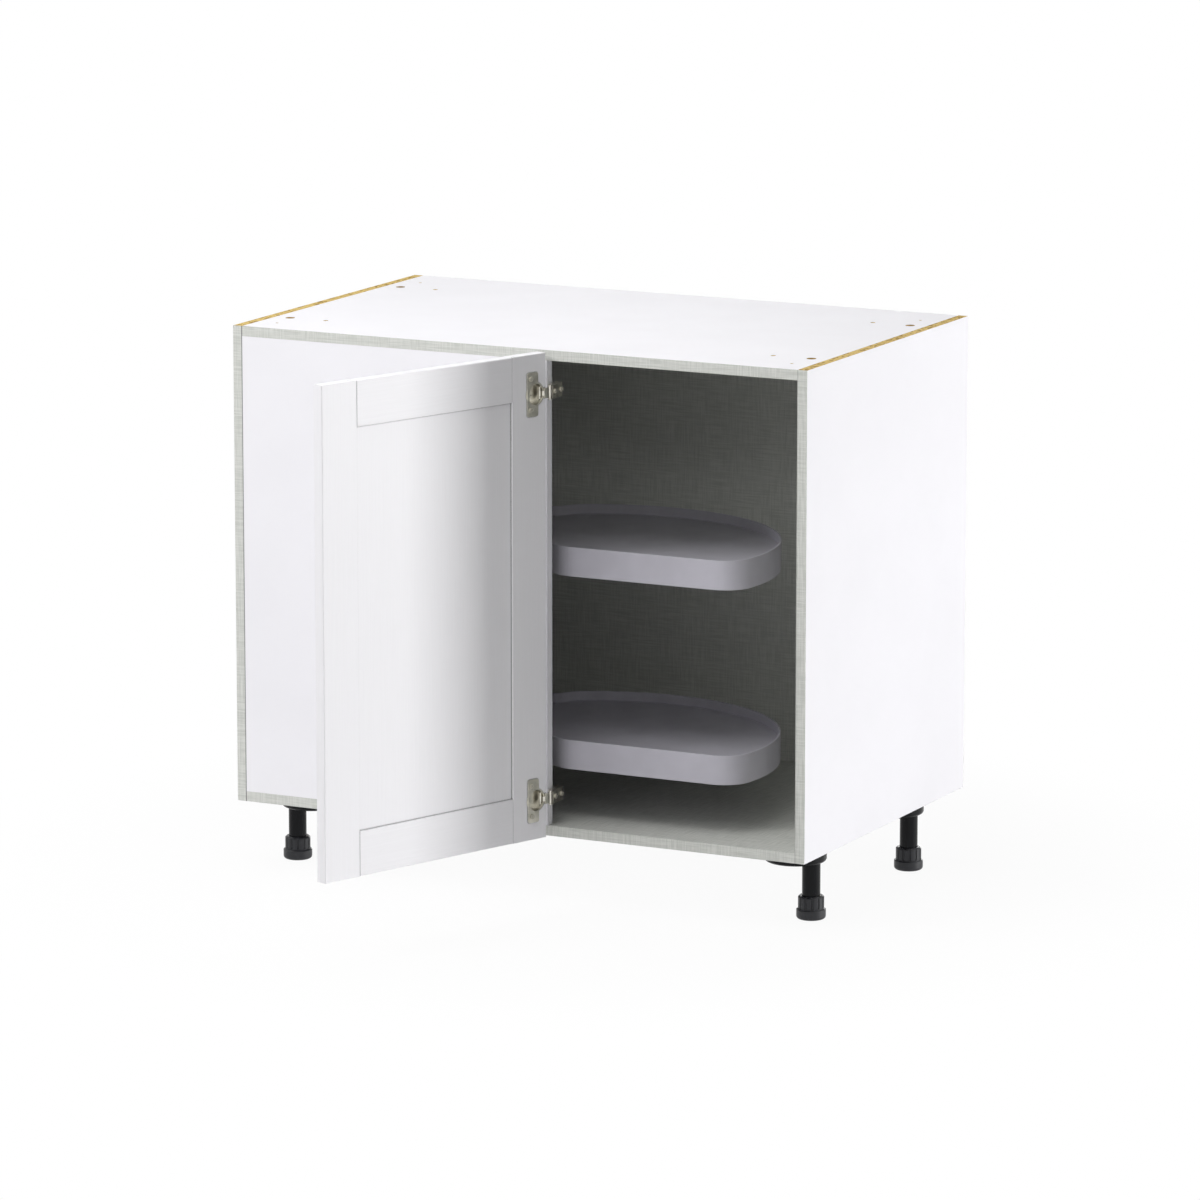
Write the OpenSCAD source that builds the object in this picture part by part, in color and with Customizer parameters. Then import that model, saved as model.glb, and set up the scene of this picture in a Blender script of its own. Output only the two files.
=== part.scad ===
// Blind corner base cabinet: a frameless carcass on four levelling legs, a blind panel on the left,
// one full-overlay door on two concealed hinges, and two kidney trays that swing out on a post.
// The origin is on the floor under the middle of the carcass, +X to the right, +Y to the wall, +Z up.
// The door is drawn open and the trays are drawn swung in.

/* [Carcass] */
// Width over the two side panels
cabinet_w = 990.6; // [970:0.2:1020]
// Depth of the carcass, from its front edges to the wall
cabinet_d = 603; // [590:1:630]
// Height of the carcass box, without its legs
box_h = 762; // [740:1:800]
// Thickness of the chipboard panels
board_t = 16; // [15.5:0.1:18]
// Thickness of the bands on the front edges
band_t = 1; // [0.6:0.1:1.6]
// Width of the blind panel, from the left side panel to its free edge
blind_w = 536; // [526:1:542]

/* [Board fittings] */
// Radius of a cam lock's bore
cam_bore_r = 7.5; // [7:0.1:8.5]
// Depth of a cam lock's bore
cam_bore_depth = 12.5; // [11.8:0.1:13]
// Distance from a cam lock's centre to the side panel
cam_inset = 26.5; // [24:0.5:34]
// Distance from the front of the carcass to the front row of cam locks
cam_front = 107.2; // [90:0.2:130]
// Distance between the two rows of cam locks
cam_rows_apart = 366.8; // [340:0.2:380]
// Radius of the cam bolt's head
bolt_head_r = 3.4; // [3:0.1:3.6]
// Length of the cam bolt's thread in the side panel
bolt_grip = 11; // [9:0.5:12]
// Radius of the wooden dowels
dowel_r = 4; // [3:0.5:5]
// Length of a wooden dowel
dowel_len = 30; // [25:1:34]
// Distance from a cam bolt to the dowel beside it
dowel_offset = 64; // [32:1:90]
// Radius of the worktop screw holes
screw_hole_r = 2.5; // [2:0.1:3.5]
// Distance from the side panel to the worktop screw holes
screw_hole_inset = 33.6; // [30:0.2:50]
// Distance from the front of the carcass to the front worktop screw holes
screw_hole_front = 52; // [40:1:70]
// Distance between the two rows of worktop screw holes
screw_rows_apart = 477; // [450:1:490]
// Radius of the worktop dowel holes
dowel_hole_r = 4; // [3:0.5:5]
// Distance from the side panel to the worktop dowel holes
dowel_hole_inset = 90.6; // [70:0.2:110]

/* [Door] */
// Thickness of the door's frame
door_t = 19; // [18:0.5:22]
// Reveal between the door and the outline of the carcass
reveal = 1.6; // [1:0.1:2.5]
// Distance by which the closed door covers the blind panel
overlay = 17; // [16:0.1:17.2]
// Gap between the closed door and the front of the carcass
door_gap = 2.5; // [2.4:0.1:3]
// Width of the stiles
stile_w = 70; // [60:1:90]
// Width of the rails
rail_w = 70; // [60:1:90]
// Thickness of the centre panel
centre_t = 10; // [8:0.5:12]
// Depth from the stile's outer face to the centre panel
outer_recess = 6; // [4:0.5:7]
// Depth of the groove that holds the centre panel
groove_depth = 9.3; // [8:0.1:12]
// Radius of the door's arrises
arris_r = 1.5; // [0.8:0.1:2]

/* [Hinges] */
// Distance from the door's top or bottom edge to a hinge
hinge_inset = 61.5; // [55:0.5:80]
// Distance from the door's edge to the cup's centre
cup_edge = 22.5; // [22:0.1:23]
// Radius of the cup
cup_r = 17.4; // [17:0.1:17.6]
// Depth of the cup
cup_depth = 12.5; // [12.2:0.1:13]
// Wall of the cup
cup_wall = 1; // [0.8:0.1:1.1]
// Width of the flange that is screwed to the door
flange_w = 22; // [20:0.5:24]
// Height of that flange
flange_h = 68; // [60:1:70]
// Thickness of that flange
flange_t = 2; // [1.2:0.1:2.2]
// Radius of the hinge pins
hinge_pin_r = 1.5; // [1.2:0.1:1.6]
// Thickness of the link between the two pins
link_t = 2; // [1.6:0.1:2.2]
// Height of the arm
arm_h = 22; // [20:0.5:24]
// Thickness of the arm's sheet and of the wing plate
hinge_sheet = 2; // [1.5:0.1:2.2]

/* [Trays] */
// Height of the upper tray's rim above the cabinet's floor
upper_rim = 432.7; // [400:0.1:460]
// Height of the lower tray's rim above the cabinet's floor
lower_rim = 127.7; // [110:0.1:150]
// Height of a tray's rim band
rim_h = 46; // [42:1:50]
// Thickness of the rim band
rim_t = 2.8; // [2:0.1:3.5]
// Depth from the rim's top to the tray's floor
tray_depth = 15; // [12:0.5:18]
// Thickness of the tray's floor
tray_floor_t = 3; // [2.5:0.1:4]
// Radius of the tray's right lobe
right_lobe_r = 297; // [290:1:300]
// Radius of the tray's left lobe
left_lobe_r = 150; // [145:1:154]
// Radius of the corner at the tray's front right
front_corner_r = 45; // [35:1:55]
// Radius of the shoulder at the tray's front left
shoulder_r = 60; // [50:1:62]
// Distance from the front of the carcass to the tray's front edge
tray_setback = 46.5; // [46:0.5:52]

/* [Swing mechanism] */
// Radius of the post
post_r = 12.5; // [11:0.1:13]
// Wall of the post
post_wall = 2; // [1.5:0.1:3]
// Radius of the hub and of the support collar on the post
hub_r = 20; // [18:0.5:21]
// Height of the hub
hub_h = 40; // [30:1:45]
// Height of the support collar under the hub
collar_h = 15; // [12:1:18]
// Thickness of the thrust washer
washer_t = 1.5; // [1:0.1:2]
// Width of the swivel arm
arm_w = 30; // [26:1:31]
// Thickness of the swivel arm
arm_t = 8; // [6:0.5:8]
// Radius of the tray's pivot shaft
shaft_r = 10; // [8:0.1:11]
// Radius of the plate under the tray
pivot_plate_r = 45; // [40:1:50]
// Thickness of the plate under the tray
pivot_plate_t = 4; // [3:0.5:5]

/* [Legs] */
// Height from the floor to the underside of the carcass
leg_h = 114.3; // [110:0.1:130]
// Distance from the carcass's side to the axis of a leg
leg_inset_x = 42.3; // [38:0.1:50]
// Distance from the carcass's front or back to the axis of a leg
leg_inset_y = 117.5; // [90:0.5:130]
// Radius of a leg's tube
leg_tube_r = 14.25; // [12:0.05:15]
// Radius of a leg's socket flange
socket_r = 48.5; // [46:0.5:50]
// Height of a leg's socket flange
socket_h = 25; // [20:0.5:28]
// Radius of the foot's base drum
foot_r = 23; // [21.5:0.1:25]
// Height of the foot's base drum
foot_base_h = 16.5; // [15:0.1:18]
// Radius of the foot's fluted collar
foot_collar_r = 20.25; // [19.5:0.05:21]
// Height of the foot's fluted collar
foot_collar_h = 20.6; // [18:0.1:23]
// Number of flutes round the foot's collar
flutes = 12; // [8:1:14]

/* [Hidden] */
$fn = 48;

// Fits
cut = 1;
press_fit = 0.03;
running_fit = 0.05;
loose_fit = 0.1;
running_gap = 0.3;

// Screws: shank radius, bite in the board, and head radius and height
screw_play = 0.2;
screw_bite = 11;
wood_screw_r = 1.8;
cup_screw_head = [3.9, 1.8];
plate_screw_head = [3.6, 1.4];
flange_screw_r = 2;
flange_screw_head = [3.8, 2.2];
socket_screw_r = 2;
socket_screw_head = [4, 2];
clamp_screw_r = 2.5;
clamp_screw_head = [4, 2];
set_screw_r = 2.5;
set_screw_recess = 0.5;
adjuster_len = 6;

// Planes of the carcass
half_w = cabinet_w / 2;
inner_x = half_w - board_t;
front_y = -cabinet_d / 2;
back_y = cabinet_d / 2;
base_z = leg_h;
top_z = base_z + box_h;
floor_z = base_z + board_t;
ceiling_z = top_z - board_t;
blind_x = blind_w - inner_x;
blind_back_y = front_y + board_t;

// Rows and columns of the board fittings
cam_rows = [front_y + cam_front, front_y + cam_front + cam_rows_apart];
dowel_rows = [cam_rows[0] + dowel_offset, cam_rows[1] - dowel_offset];
screw_rows = [front_y + screw_hole_front, front_y + screw_hole_front + screw_rows_apart];
cam_h = cam_bore_depth - 0.2;
bolt_bore_r = bolt_head_r + 0.35;
bolt_thread_r = 2.5;
bolt_neck_r = 2;
bolt_neck_len = 5;
bolt_head_len = 3;
dowel_in_face = board_t - 6;
dowel_bore_end = 0.4;
upright_dowel_inset = 70;
upright_dowel_levels =
    [floor_z + upright_dowel_inset, (floor_z + ceiling_z) / 2, ceiling_z - upright_dowel_inset];
blind_dowel_columns =
    [-inner_x + upright_dowel_inset, blind_x - blind_w / 2, blind_x - upright_dowel_inset];

// Door, measured from its hinge edge, its outer face and its lower edge
door_h = box_h - 2 * reveal;
door_w = half_w - reveal - (blind_x - overlay);
door_z = base_z + reveal;
hinge_levels = [hinge_inset, door_h - hinge_inset];
groove_low = outer_recess - loose_fit;
groove_w = centre_t + 2 * loose_fit;
tongue_len = groove_depth - 0.3;
cup_bore_clearance = 0.1;
cup_lip = 1.2;
cup_lip_t = 0.8;
flange_edge = 17.5;
flange_round = 3;
flange_screw_edge = 32;
flange_screw_z = 24;

// Pins of the hinge: the cup pin on the door, the nose pin on the arm
cup_pin_edge = 9.3;
cup_pin_depth = 4;
nose_pin = [blind_x + 9.1, front_y - 9.2];
cup_pin_closed = [blind_x - overlay + cup_pin_edge, front_y - door_gap - cup_pin_depth];
door_angle = 110;
link_angle = 60;
cup_pin_open = nose_pin + turned(cup_pin_closed - nose_pin, link_angle);
cup_inner_r = cup_r - cup_wall;
knuckle_r = hinge_pin_r + 1.1;
link_bends = [[-1.1, 5.2], [-3.8, 6.3], [-9.3, 6.5]];
cup_knuckle_h = 8.6;
nose_knuckle_h = arm_h - 2 * hinge_sheet - 1;
cup_pin_half = sqrt(pow(cup_r, 2) - pow(cup_edge - cup_pin_edge + hinge_pin_r, 2));

// Hinge arm and wing plate, measured from the blind panel's free edge
arm_low_x = blind_x + 2.5;
arm_high_x = blind_x + 11.7;
arm_nose_x = blind_x + 6.5;
arm_back_y = blind_back_y + 12.5;
arm_nose_y = nose_pin.y - 2.6;
arm_nose_chamfer = 1.5;
arm_step_y = front_y - 1.8;
arm_throat_y = nose_pin.y + 2.7;
arm_web_y = front_y - 3.5;
plate_reach = 40;
plate_overrun = 3;
plate_half_h = 18;
plate_screw_x = blind_x - 20;
plate_screw_z = 11;
clamp_y = blind_back_y + 8.5;
adjuster_y = front_y + 4.5;

// Swing mechanism: post, tray pivot and the discs that the tray's outline is wrapped round
post = [blind_x - 191.7, front_y + 44];
pivot = [blind_x - 396.7, front_y + 366.5];
right_lobe = [blind_x + 10.3, front_y + 127.5];
left_lobe = [blind_x - 331.2, front_y + 317];
back_shoulder_r = 60;
back_shoulder_angle = 118;
back_shoulder = right_lobe
    + (right_lobe_r - back_shoulder_r) * [cos(back_shoulder_angle), sin(back_shoulder_angle)];
waist_r = 18;
left_corner_r = 45;
left_corner_angle = 215;
notch_r = 48;
notch = [blind_x - 159.7, front_y + 84.5];
shoulder_x = blind_x + 18.3;
pivot_boss_h = 6;
pivot_boss_r = pivot_plate_r + 3;
skirt_gap = 4;
arm_top_drop = rim_h + skirt_gap;
hub_low_drop = arm_top_drop + hub_h;
washer_low_drop = hub_low_drop + washer_t;
set_screw_drop = washer_low_drop + collar_h / 2;
plate_top_drop = tray_depth + tray_floor_t + pivot_boss_h;
plate_low_drop = plate_top_drop + pivot_plate_t;
nut_h = 8;
nut_r = shaft_r + 7;
nut_low_drop = arm_top_drop + arm_t + running_gap + nut_h;
shaft_overrun = 2;
washer_inset = 1;
arm_boss_r = shaft_r + 7;
arm_pocket_depth = arm_t / 2;
arm_pocket_wall = 5;
plate_screw_ring = 34;
plate_screw_rest = 1;
rib_t = 2.4;
rib_h = 10;
rib_reach = cabinet_w;
rib_angles = [for (angle = [0 : 45 : 315]) angle];

// Flanges of the post
post_flange_t = 6;
post_flange_collar_h = 18;
post_flange_collar_r = 18;
post_flange_half_w = 34;
post_flange_front = 23;
post_flange_back = 34;
post_flange_round = 14;
flange_screws_at = [[-25, 8], [25, 8], [0, 25]];

// Legs
leg_x = half_w - leg_inset_x;
leg_y = cabinet_d / 2 - leg_inset_y;
socket_shift = 27;
socket_round = 5;
socket_skin = 5;
socket_screw_ring = 38;
socket_screw_angles = [75, 145, 215, 285];
tube_bore_r = leg_tube_r - 2.75;
stem_r = 8;
stem_top = 78;
thread_len = 15;
foot_shoulder = foot_base_h - 2.5;
foot_round = 5;
foot_bevel = 1.5;
stem_bevel = 1;
flute_r = 1.8;
flute_rise = 1;
flute_ring = foot_collar_r + 0.2;
collar_chamfer = 2.4;
tube_top = leg_h - 3;

// A vector turned anticlockwise
function turned(v, angle) = [v.x * cos(angle) - v.y * sin(angle), v.x * sin(angle) + v.y * cos(angle)];

// An outline is a belt wrapped anticlockwise round discs [x, y, radius]; a negative radius bends it inwards
function disc(centre, radius) = [centre.x, centre.y, radius];
function heading(a, b) =
    let (reach = norm([b.x - a.x, b.y - a.y]))
    atan2(b.y - a.y, b.x - a.x) - asin(max(-1, min(1, (b[2] - a[2]) / reach)));
function run_length(a, b) =
    sqrt(max(0, pow(b.x - a.x, 2) + pow(b.y - a.y, 2) - pow(b[2] - a[2], 2)));
function left_turn(from, to) = let (turn = (to - from) % 360) turn < 0 ? turn + 360 : turn;
function belt(discs, inset = 0, step = 6) =
    let (n = len(discs), headings = [for (i = [0 : n - 1]) heading(discs[i], discs[(i + 1) % n])])
    [for (i = [0 : n - 1])
        let (from = headings[(i + n - 1) % n],
            left = left_turn(from, headings[i]),
            turn = discs[i][2] > 0 ? left : left - 360,
            parts = max(2, ceil(abs(turn) / step)),
            last = run_length(discs[i], discs[(i + 1) % n]) < 0.05 ? parts - 1 : parts,
            radius = discs[i][2] - inset)
        for (k = [0 : last])
            let (at = from + turn * k / parts)
            [discs[i].x + radius * sin(at), discs[i].y - radius * cos(at)]];
function round_rect(low, high, r) =
    belt([[low.x + r, low.y + r, r], [high.x - r, low.y + r, r],
        [high.x - r, high.y - r, r], [low.x + r, high.y - r, r]], 0, 30);

// Where two circles round a and b meet, on the side to the right of the way from a to b
function meeting(a, ra, b, rb) =
    let (way = b - a, apart = norm(way), along = (ra * ra - rb * rb + apart * apart) / (2 * apart),
        off = sqrt(ra * ra - along * along))
    a + way / apart * along + [way.y, -way.x] / apart * off;

// Discs round which the tray's outline is wrapped, from its front right corner
function tray_discs() =
    let (front = front_y + tray_setback,
        corner_y = front + front_corner_r,
        corner_x = right_lobe.x
            + sqrt(pow(right_lobe_r - front_corner_r, 2) - pow(corner_y - right_lobe.y, 2)),
        left_corner = left_lobe
            + (left_lobe_r - left_corner_r) * [cos(left_corner_angle), sin(left_corner_angle)])
    [[corner_x, corner_y, front_corner_r],
        disc(right_lobe, right_lobe_r),
        disc(back_shoulder, back_shoulder_r),
        disc(meeting(back_shoulder, back_shoulder_r + waist_r, left_lobe, left_lobe_r + waist_r), -waist_r),
        disc(left_lobe, left_lobe_r),
        disc(left_corner, left_corner_r),
        disc(notch, -notch_r),
        [shoulder_x, front + shoulder_r, shoulder_r]];

module block(low, high) {
    translate(low) cube(high - low);
}

module rod_x(at, r, length) {
    translate(at) rotate([0, 90, 0]) cylinder(r = r, h = length);
}

module rod_y(at, r, length) {
    translate(at) rotate([-90, 0, 0]) cylinder(r = r, h = length);
}

module both_sides() {
    children();
    mirror([1, 0, 0]) children();
}

// Outline of a ribbon of even thickness along a few points, mitred where it turns
function left_normal(way) = [-way.y, way.x] / norm(way);
function mitre(points, i, off) =
    let (before = left_normal(points[max(i, 1)] - points[max(i, 1) - 1]),
        next = min(i, len(points) - 2),
        after = left_normal(points[next + 1] - points[next]))
    points[i] + (before + after) * off / (1 + before * after);
function ribbon(points, thickness) =
    concat([for (i = [0 : len(points) - 1]) mitre(points, i, -thickness / 2)],
        [for (i = [len(points) - 1 : -1 : 0]) mitre(points, i, thickness / 2)]);

// Carcass

module side_bores() {
    for (level = [base_z + board_t / 2, top_z - board_t / 2]) {
        for (y = cam_rows)
            rod_x([inner_x - cut, y, level], bolt_thread_r + press_fit, bolt_grip + dowel_bore_end + cut);
        for (y = dowel_rows)
            rod_x([inner_x - cut, y, level], dowel_r + press_fit, dowel_in_face + dowel_bore_end + cut);
    }
    for (level = upright_dowel_levels)
        rod_x([inner_x - cut, back_y - board_t / 2, level], dowel_r + press_fit,
            dowel_in_face + dowel_bore_end + cut);
}

module side_panel() {
    difference() {
        block([inner_x, front_y + band_t, base_z], [half_w, back_y, top_z]);
        side_bores();
    }
}

module right_side_panel() {
    color("white") side_panel();
}

module left_side_panel() {
    color("white")
        difference() {
            mirror([1, 0, 0]) side_panel();
            for (level = upright_dowel_levels)
                rod_x([-inner_x - dowel_in_face - dowel_bore_end, front_y + board_t / 2, level],
                    dowel_r + press_fit, dowel_in_face + dowel_bore_end + cut);
        }
}

// A top or bottom panel with its inner face at height 0 and its outer face up
module cross_panel() {
    mid = board_t / 2;
    difference() {
        block([-inner_x, front_y + band_t, 0], [inner_x, back_y, board_t]);
        both_sides() {
            for (y = cam_rows) {
                translate([inner_x - cam_inset, y, board_t - cam_bore_depth])
                    cylinder(r = cam_bore_r, h = cam_bore_depth + cut);
                rod_x([inner_x - cam_inset, y, mid], bolt_bore_r, cam_inset + cut);
            }
            for (y = dowel_rows)
                rod_x([inner_x - dowel_len + dowel_in_face - dowel_bore_end, y, mid], dowel_r + press_fit,
                    dowel_len - dowel_in_face + dowel_bore_end + cut);
        }
        for (x = blind_dowel_columns)
            translate([x, front_y + board_t / 2, -cut])
                cylinder(r = dowel_r + press_fit, h = dowel_in_face + dowel_bore_end + cut);
        for (at = flange_screws_at)
            translate([post.x + at.x, post.y + at.y, -cut])
                cylinder(r = flange_screw_r + press_fit, h = screw_bite + dowel_bore_end + cut);
    }
}

module top_panel() {
    color("white")
        difference() {
            translate([0, 0, ceiling_z]) cross_panel();
            both_sides() {
                for (y = screw_rows)
                    translate([inner_x - screw_hole_inset, y, ceiling_z - cut])
                        cylinder(r = screw_hole_r, h = board_t + 2 * cut);
                for (y = cam_rows)
                    translate([inner_x - dowel_hole_inset, y, ceiling_z - cut])
                        cylinder(r = dowel_hole_r, h = board_t + 2 * cut);
            }
        }
}

module bottom_panel() {
    color("white")
        difference() {
            translate([0, 0, floor_z]) mirror([0, 0, 1]) cross_panel();
            at_leg_sockets()
                socket_screw_places()
                    translate([0, 0, -cut])
                        cylinder(r = socket_screw_r + press_fit, h = screw_bite + dowel_bore_end + cut);
        }
}

module back_panel() {
    bore = dowel_len - dowel_in_face + dowel_bore_end;
    color("gainsboro")
        difference() {
            block([-inner_x, back_y - board_t, floor_z], [inner_x, back_y, ceiling_z]);
            both_sides()
                for (level = upright_dowel_levels)
                    rod_x([inner_x - bore, back_y - board_t / 2, level], dowel_r + press_fit, bore + cut);
        }
}

module blind_panel() {
    bore = dowel_len - dowel_in_face + dowel_bore_end;
    mid_y = front_y + board_t / 2;
    color("white")
        difference() {
            block([-inner_x, front_y, floor_z], [blind_x - band_t, blind_back_y, ceiling_z]);
            for (level = upright_dowel_levels)
                rod_x([-inner_x - cut, mid_y, level], dowel_r + press_fit, bore + cut);
            for (x = blind_dowel_columns) {
                translate([x, mid_y, floor_z - cut]) cylinder(r = dowel_r + press_fit, h = bore + cut);
                translate([x, mid_y, ceiling_z - bore]) cylinder(r = dowel_r + press_fit, h = bore + cut);
            }
            for (level = hinge_levels, side = [-1, 1])
                rod_y([plate_screw_x, blind_back_y - screw_bite - dowel_bore_end,
                    door_z + level + side * plate_screw_z],
                    wood_screw_r + press_fit, screw_bite + dowel_bore_end + cut);
        }
}

module side_edge_bands() {
    color("lightgray")
        both_sides() block([inner_x, front_y, base_z], [half_w, front_y + band_t, top_z]);
}

module cross_edge_bands() {
    color("lightgray") {
        block([-inner_x, front_y, base_z], [inner_x, front_y + band_t, floor_z]);
        block([-inner_x, front_y, ceiling_z], [inner_x, front_y + band_t, top_z]);
    }
}

module blind_edge_band() {
    color("white")
        block([blind_x - band_t, front_y, floor_z], [blind_x, blind_back_y, ceiling_z]);
}

// Repeats its children at the four cam joints of the right side, top face up, then mirrors them
module at_cam_joints() {
    both_sides()
        for (y = cam_rows) {
            translate([inner_x - cam_inset, y, top_z]) children();
            translate([inner_x - cam_inset, y, base_z]) mirror([0, 0, 1]) children();
        }
}

// Its slot takes the bolt's head, and its cross takes the screwdriver
module cam_lock() {
    slot = 2 * bolt_head_r + 0.6;
    cross_w = 1.6;
    cross_len = 9;
    cross_depth = 2.2;
    difference() {
        translate([0, 0, -cam_h]) cylinder(r = cam_bore_r - loose_fit, h = cam_h);
        block([-bolt_head_len, -slot / 2, -board_t / 2 - slot / 2],
            [cam_bore_r + cut, slot / 2, -board_t / 2 + slot / 2]);
        block([-cross_w / 2, -cross_len / 2, -cross_depth], [cross_w / 2, cross_len / 2, cut]);
        block([-cross_len / 2, -cross_w / 2, -cross_depth], [cross_len / 2, cross_w / 2, cut]);
    }
}

module cam_locks() {
    color("darkgoldenrod") at_cam_joints() cam_lock();
}

module cam_bolts() {
    head_start = -bolt_head_len / 2;
    neck_end = bolt_head_len / 2 + bolt_neck_len;
    color("silver")
        at_cam_joints()
            translate([0, 0, -board_t / 2]) {
                rod_x([head_start, 0, 0], bolt_head_r, bolt_head_len);
                rod_x([0, 0, 0], bolt_neck_r, neck_end);
                rod_x([neck_end, 0, 0], bolt_head_r, cam_inset - neck_end);
                rod_x([cam_inset - cut, 0, 0], bolt_thread_r, bolt_grip + cut);
            }
}

module joint_dowels() {
    color("burlywood") {
        both_sides() {
            for (level = [base_z + board_t / 2, top_z - board_t / 2], y = dowel_rows)
                rod_x([inner_x + dowel_in_face - dowel_len, y, level], dowel_r, dowel_len);
            for (level = upright_dowel_levels)
                rod_x([inner_x + dowel_in_face - dowel_len, back_y - board_t / 2, level], dowel_r, dowel_len);
        }
        for (level = upright_dowel_levels)
            rod_x([-inner_x - dowel_in_face, front_y + board_t / 2, level], dowel_r, dowel_len);
        for (x = blind_dowel_columns) {
            translate([x, front_y + board_t / 2, floor_z - dowel_in_face])
                cylinder(r = dowel_r, h = dowel_len);
            translate([x, front_y + board_t / 2, ceiling_z + dowel_in_face - dowel_len])
                cylinder(r = dowel_r, h = dowel_len);
        }
    }
}

// Door

// Places its children on the open door; they are drawn from its hinge edge, outer face and lower edge
module on_door() {
    translate([cup_pin_open.x, cup_pin_open.y, door_z]) rotate(-door_angle)
        translate([-cup_pin_edge, cup_pin_depth - door_t, 0]) children();
}

// Section of a frame member of width w whose groove opens at its far edge
module member_section(w) {
    difference() {
        polygon(round_rect([0, 0], [w, door_t], arris_r));
        translate([w - groove_depth, groove_low]) square([groove_depth + cut, groove_w]);
    }
}

module door_hinge_stile() {
    color("whitesmoke")
        on_door()
            difference() {
                linear_extrude(door_h) member_section(stile_w);
                for (level = hinge_levels) {
                    rod_y([cup_edge, door_t - cup_depth - cup_bore_clearance, level],
                        cup_r + cup_bore_clearance, cup_depth + cup_bore_clearance + cut);
                    for (side = [-1, 1])
                        rod_y([flange_screw_edge, door_t - screw_bite - dowel_bore_end,
                            level + side * flange_screw_z],
                            wood_screw_r + press_fit, screw_bite + dowel_bore_end + cut);
                }
            }
}

module door_free_stile() {
    color("whitesmoke")
        on_door()
            translate([door_w, 0, 0]) mirror([1, 0, 0]) linear_extrude(door_h) member_section(stile_w);
}

// A rail from its outer edge at height 0, its groove up, with a tongue at each end
module rail() {
    length = door_w - 2 * stile_w;
    translate([stile_w, 0, 0]) rotate([90, 0, 90])
        linear_extrude(length) mirror([1, -1, 0]) member_section(rail_w);
    block([stile_w - tongue_len, outer_recess, 0],
        [door_w - stile_w + tongue_len, outer_recess + centre_t, rail_w - groove_depth]);
}

module door_bottom_rail() {
    color("whitesmoke") on_door() rail();
}

module door_top_rail() {
    color("whitesmoke") on_door() translate([0, 0, door_h]) mirror([0, 0, 1]) rail();
}

module door_centre_panel() {
    color("whitesmoke")
        on_door()
            block([stile_w - tongue_len, outer_recess, rail_w - tongue_len],
                [door_w - stile_w + tongue_len, outer_recess + centre_t, door_h - rail_w + tongue_len]);
}

// Hinges

// Places its children at each hinge of the open door, from the door's edge and its inner face
module at_door_hinges() {
    on_door()
        for (level = hinge_levels) translate([0, door_t, level]) children();
}

// Places its children at each hinge's height on the carcass
module at_carcass_hinges() {
    for (level = hinge_levels) translate([0, 0, door_z + level]) children();
}

module hinge_cup() {
    difference() {
        union() {
            rod_y([cup_edge, -cup_depth, 0], cup_r, cup_depth);
            rod_y([cup_edge, 0, 0], cup_r + cup_lip, cup_lip_t);
            rotate([-90, 0, 0]) linear_extrude(flange_t)
                polygon(round_rect([flange_edge, -flange_h / 2],
                    [flange_edge + flange_w, flange_h / 2], flange_round));
        }
        rod_y([cup_edge, cup_wall - cup_depth, 0], cup_inner_r, cup_depth + flange_t);
        for (side = [-1, 1])
            rod_y([flange_screw_edge, -cut, side * flange_screw_z], wood_screw_r + screw_play,
                flange_t + 2 * cut);
        translate([cup_pin_edge, -cup_pin_depth, -cup_r])
            cylinder(r = hinge_pin_r + press_fit, h = 2 * cup_r);
    }
}

module hinge_cups() {
    color("silver") at_door_hinges() hinge_cup();
}

module hinge_cup_screws() {
    color("silver")
        at_door_hinges()
            for (side = [-1, 1])
                translate([flange_screw_edge, flange_t, side * flange_screw_z])
                    rotate([-90, 0, 0]) screw_down(wood_screw_r, screw_bite + flange_t, cup_screw_head);
}

module hinge_cup_pins() {
    color("gray")
        at_door_hinges()
            translate([cup_pin_edge, -cup_pin_depth, -cup_pin_half])
                cylinder(r = hinge_pin_r, h = 2 * cup_pin_half);
}

// The link is bent, so that it clears the cup's rim when the door is open and its floor when it is shut.
// Its points are measured from the cup pin on the open door, whose inner face looks along +Y.
module hinge_link() {
    to_nose = turned(nose_pin - cup_pin_open, door_angle);
    path = concat([[0, 0]], link_bends, [to_nose]);
    plate_h = nose_knuckle_h - 1;
    narrow_h = cup_knuckle_h - 1;
    neck_x = link_bends[1].x - 0.8;
    difference() {
        union() {
            cylinder(r = knuckle_r, h = cup_knuckle_h, center = true);
            translate(to_nose) cylinder(r = knuckle_r, h = nose_knuckle_h, center = true);
            difference() {
                linear_extrude(plate_h, center = true) polygon(ribbon(path, link_t));
                for (low = [-plate_h, narrow_h / 2])
                    block([neck_x, -cup_pin_depth, low],
                        [knuckle_r, 3 * cup_pin_depth, low + plate_h - narrow_h / 2]);
            }
        }
        cylinder(r = hinge_pin_r + running_fit, h = arm_h, center = true);
        translate(to_nose) cylinder(r = hinge_pin_r + running_fit, h = arm_h, center = true);
    }
}

module hinge_links() {
    color("silver") at_door_hinges() translate([cup_pin_edge, -cup_pin_depth, 0]) hinge_link();
}

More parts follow.
